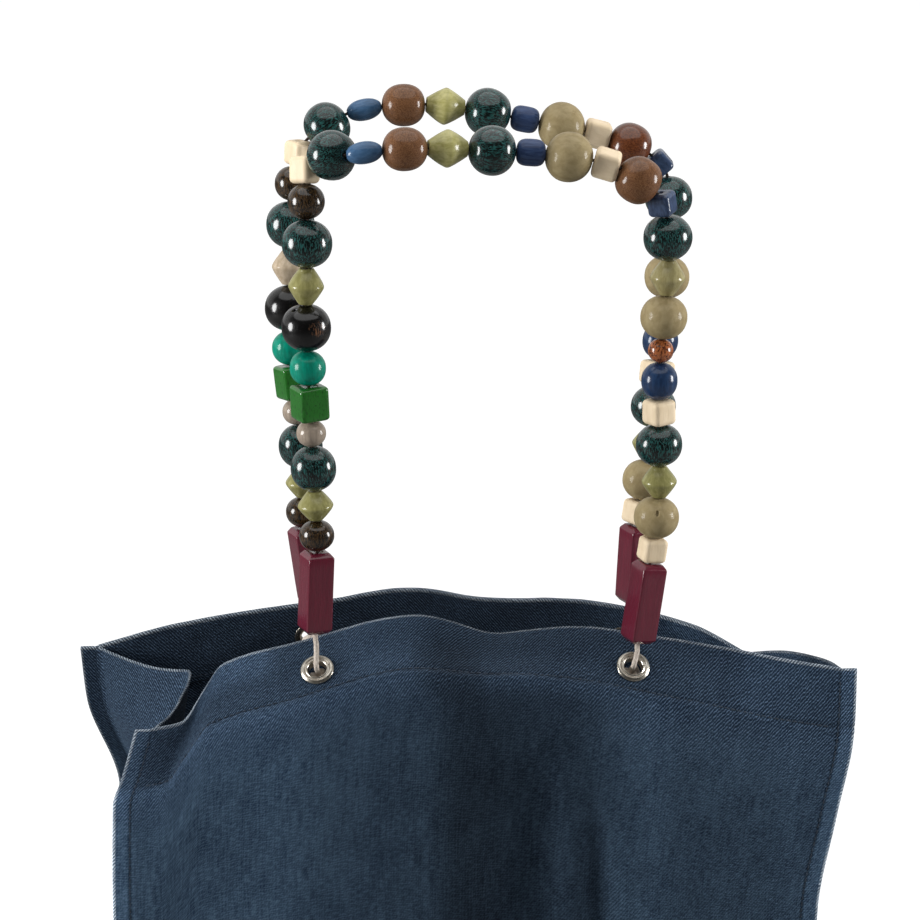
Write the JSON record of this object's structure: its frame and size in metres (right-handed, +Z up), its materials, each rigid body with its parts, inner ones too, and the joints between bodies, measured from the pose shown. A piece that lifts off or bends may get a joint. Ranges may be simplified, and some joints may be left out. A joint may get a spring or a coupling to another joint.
{
  "type": "denim bag",
  "caption": "Soft open denim tote with folding side gussets, eyelets in a turned hem and carrying handles of threaded wooden beads.",
  "frame": {"origin": "the grip, midway between the top runs of the two handles, where a hand or hook holds the bag up", "axes": "+Z up, +X to the right along the mouth seen from the front, +Y from the front panel to the back"},
  "size_m": [0.3903, 0.1262, 0.6166],
  "materials": {
    "denim": "mid blue-grey cotton twill, matt, with pale cut edges",
    "nickel": "bright plated sheet metal",
    "cord": "off-white cotton cord, with its small stained wooden spacer beads",
    "burgundy_wood": "burgundy stain under clear lacquer, grain showing",
    "teal_wood": "teal stain under clear lacquer, grain showing",
    "olive_wood": "olive stain under clear lacquer, grain showing",
    "tan_wood": "tan stain under clear lacquer, grain showing",
    "brown_wood": "brown stain under clear lacquer, grain showing",
    "black_wood": "black stain under clear lacquer, grain showing",
    "turquoise_wood": "turquoise stain under clear lacquer, grain showing",
    "blue_wood": "blue stain under clear lacquer, grain showing",
    "green_wood": "green stain under clear lacquer, grain showing"
  },
  "bodies": {
    "root": {"front_panel": "denim", "back_panel": "denim", "left_gusset": "denim", "right_gusset": "denim", "base": "denim", "front_left_eyelet": "nickel", "front_right_eyelet": "nickel", "back_left_eyelet": "nickel", "back_right_eyelet": "nickel", "front_string": "cord", "front_block_left": "burgundy_wood", "front_olive_1": "olive_wood", "front_teal_1": "teal_wood", "front_green_cube": "green_wood", "front_turquoise": "turquoise_wood", "front_black": "black_wood", "front_olive_2": "olive_wood", "front_teal_2": "teal_wood", "front_teal_3": "teal_wood", "front_brown_1": "brown_wood", "front_olive_3": "olive_wood", "front_teal_4": "teal_wood", "front_tan_1": "tan_wood", "front_brown_2": "brown_wood", "front_teal_5": "teal_wood", "front_olive_4": "olive_wood", "front_tan_2": "tan_wood", "front_blue_round": "blue_wood", "front_teal_6": "teal_wood", "front_olive_5": "olive_wood", "front_tan_3": "tan_wood", "front_block_right": "burgundy_wood", "back_string": "cord", "back_block_left": "burgundy_wood", "back_olive_1": "olive_wood", "back_teal_1": "teal_wood", "back_green_cube": "green_wood", "back_turquoise": "turquoise_wood", "back_black": "black_wood", "back_olive_2": "olive_wood", "back_teal_2": "teal_wood", "back_teal_3": "teal_wood", "back_brown_1": "brown_wood", "back_olive_3": "olive_wood", "back_teal_4": "teal_wood", "back_tan_1": "tan_wood", "back_brown_2": "brown_wood", "back_teal_5": "teal_wood", "back_olive_4": "olive_wood", "back_tan_2": "tan_wood", "back_blue_round": "blue_wood", "back_teal_6": "teal_wood", "back_olive_5": "olive_wood", "back_tan_3": "tan_wood", "back_block_right": "burgundy_wood"}
  },
  "joints": []
}
